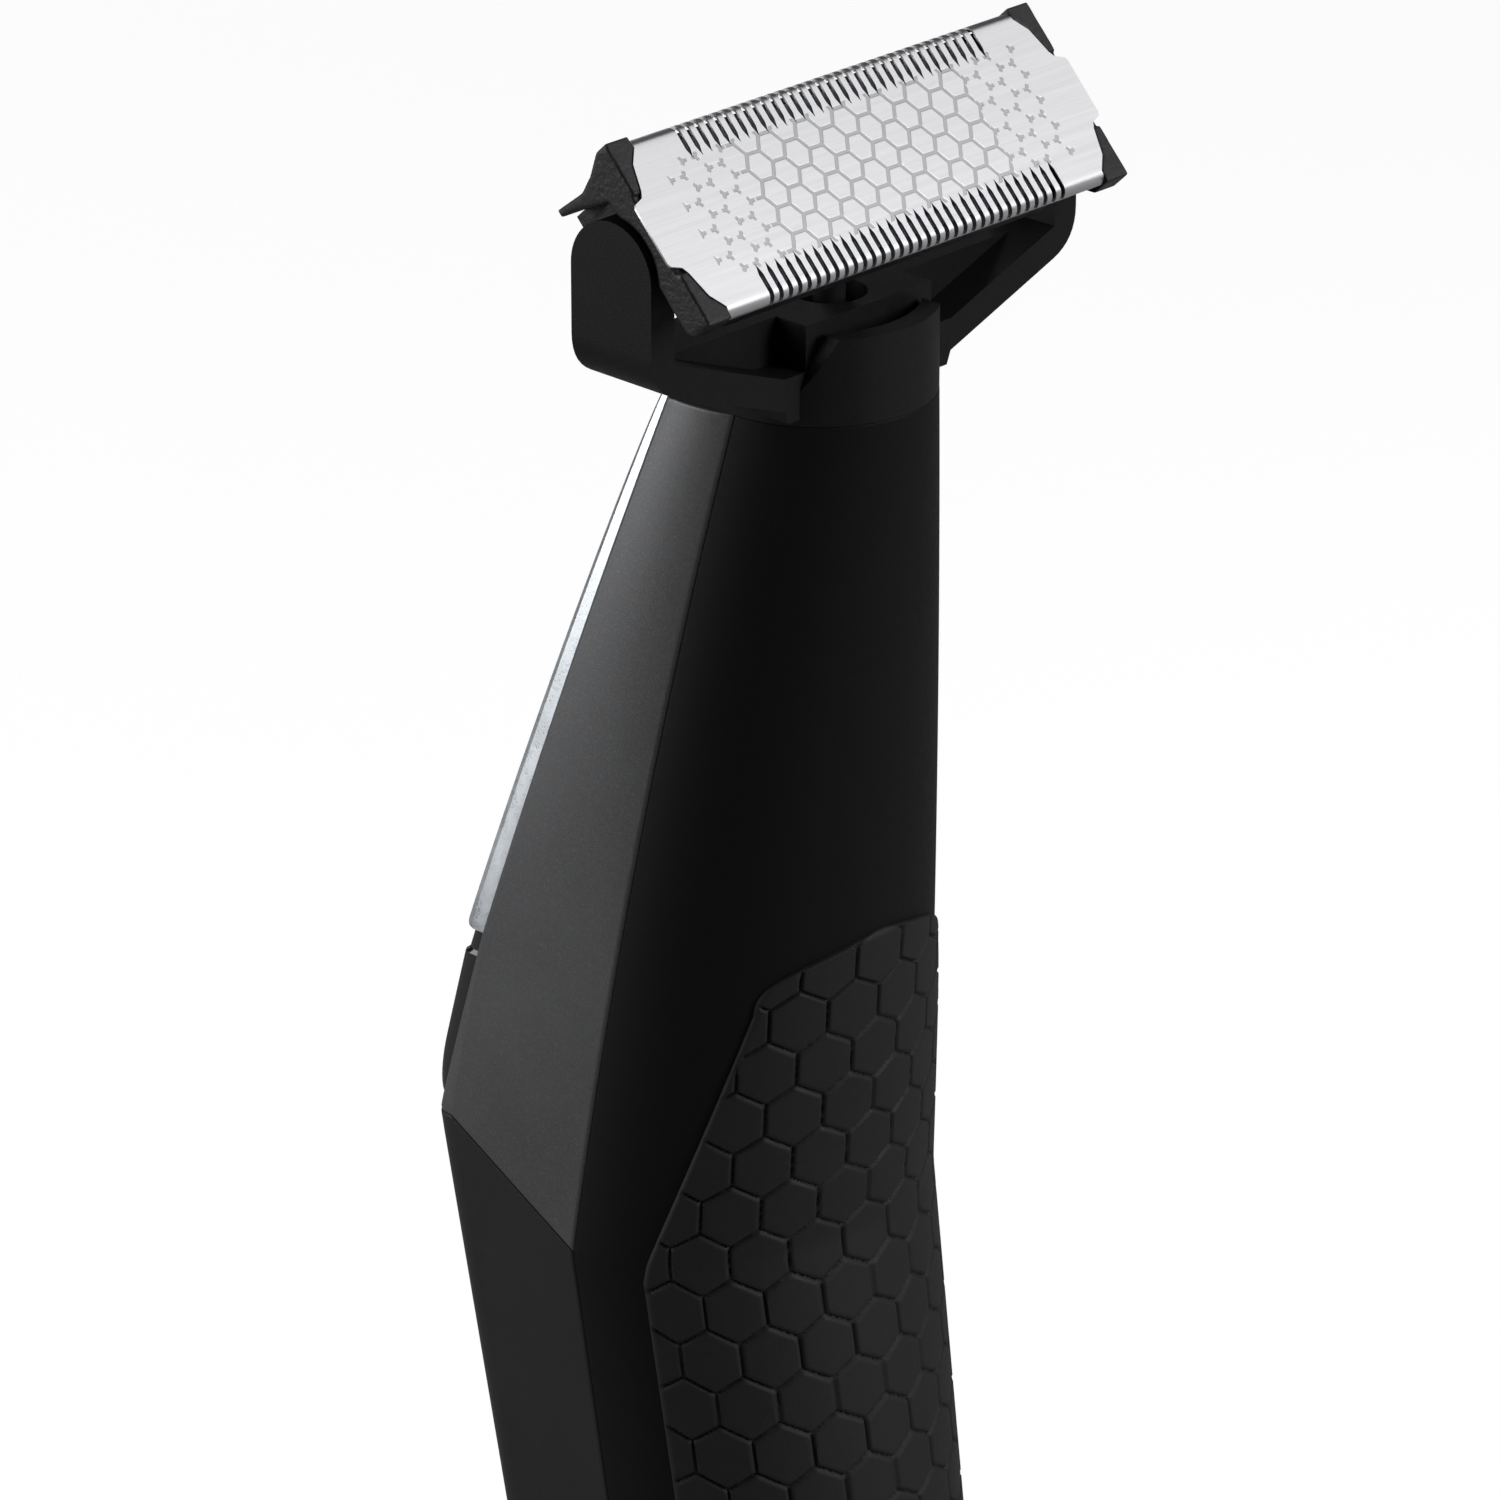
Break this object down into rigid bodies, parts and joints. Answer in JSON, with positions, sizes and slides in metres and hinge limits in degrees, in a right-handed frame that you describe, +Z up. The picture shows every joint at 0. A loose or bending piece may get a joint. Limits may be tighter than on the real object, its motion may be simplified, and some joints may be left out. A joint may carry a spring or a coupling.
{
  "type": "body groomer",
  "caption": "Cordless body groomer with a bent handle, a hexagon-textured grip and a pull-off head that carries a pivoting etched foil over a reciprocating cutter.",
  "frame": {"origin": "centre of the flat base cap", "axes": "+Z up the handle, towards the head; -Y the front with the silver plate and the power button; +Y the back with the grip; +X along the foil"},
  "size_m": [0.0444, 0.0407, 0.1516],
  "materials": {
    "soft_black": "soft-touch matt black, moulded",
    "grip": "matt black soft pad with raised hexagons",
    "gunmetal": "fine satin gunmetal paint",
    "satin_black": "satin black, moulded",
    "silver_trim": "satin anodised, bright edge",
    "gloss_black": "polished black",
    "button": "satin black",
    "lens": "clear light pipe",
    "steel": "bright steel",
    "foil_steel": "brushed along its length, with an etched honeycomb",
    "blade_steel": "ground",
    "head_black": "fine-grained satin black",
    "bracket_black": "rough black with worn highlights",
    "grey_plastic": "moulded grey",
    "white_plastic": "acetal, natural white",
    "board": "green circuit board",
    "cell_wrap": "shrink wrap",
    "contact": "plated",
    "copper": "enamelled copper",
    "magnet": "dull ferrite"
  },
  "bodies": {
    "handle": {"back_shell": "soft_black", "grip_pad": "grip", "front_shell": "gunmetal", "lower_front_shell": "satin_black", "front_plate": "silver_trim", "thumb_panel": "gloss_black", "base_cap": "satin_black", "base_screws": "steel", "charge_socket": "gloss_black", "charge_lens": "lens", "circuit_board": "board", "charge_led": "white_plastic", "tact_switch": "steel", "battery_cell": "cell_wrap", "battery_contacts": "contact", "inner_frame": "grey_plastic", "motor_can": "steel", "motor_end_cap": "grey_plastic", "motor_magnets": "magnet", "motor_screws": "steel", "drive_bracket": "grey_plastic", "lever_pin": "steel", "neck_collar": "head_black", "drive_seal": "grip"},
    "button": {"power_button": "button", "switch_plunger": "grey_plastic"},
    "rotor": {"motor_shaft": "steel", "armature": "copper", "eccentric_cam": "white_plastic"},
    "lever": {"drive_lever": "satin_black"},
    "head": {"yoke": "head_black", "pivot_pins": "steel", "tilt_springs": "copper", "latch_clips": "steel"},
    "cartridge": {"foil": "foil_steel", "cassette": "bracket_black", "end_bracket_right": "bracket_black", "end_bracket_left": "bracket_black"},
    "cutter": {"cutter_blade": "blade_steel", "cutter_carrier": "grey_plastic", "cutter_springs": "steel"}
  },
  "joints": [
    {"name": "button_press", "type": "slide", "parent": "handle", "child": "button", "axis": [0, 0.9595, -0.2816], "range_m": [0, 0.0005], "stiffness_N_per_m": 2500, "springref_m": -0.0002},
    {"name": "motor_spin", "type": "hinge", "parent": "handle", "child": "rotor", "pos_m": [0, -0.004, 0.1], "axis": [0, 0, 1], "continuous": true},
    {"name": "lever_swing", "type": "hinge", "parent": "handle", "child": "lever", "pos_m": [0, 0, 0.118], "axis": [0, 1, 0], "range_deg": [-2.36, 2.36]},
    {"name": "head_release", "type": "slide", "parent": "handle", "child": "head", "axis": [0, 0, 1], "range_m": [0, 0.022]},
    {"name": "foil_pivot", "type": "hinge", "parent": "head", "child": "cartridge", "pos_m": [0, 0, 0.1423], "axis": [1, 0, 0], "range_deg": [-20, 18], "stiffness_Nm_per_rad": 0.02},
    {"name": "cutter_slide", "type": "slide", "parent": "cartridge", "child": "cutter", "axis": [1, 0, 0], "range_m": [-0.001, 0.001]}
  ],
  "couplings": [
    {"joint": "lever_swing", "follows": "cutter_slide", "rad_per_m": 41.15}
  ]
}
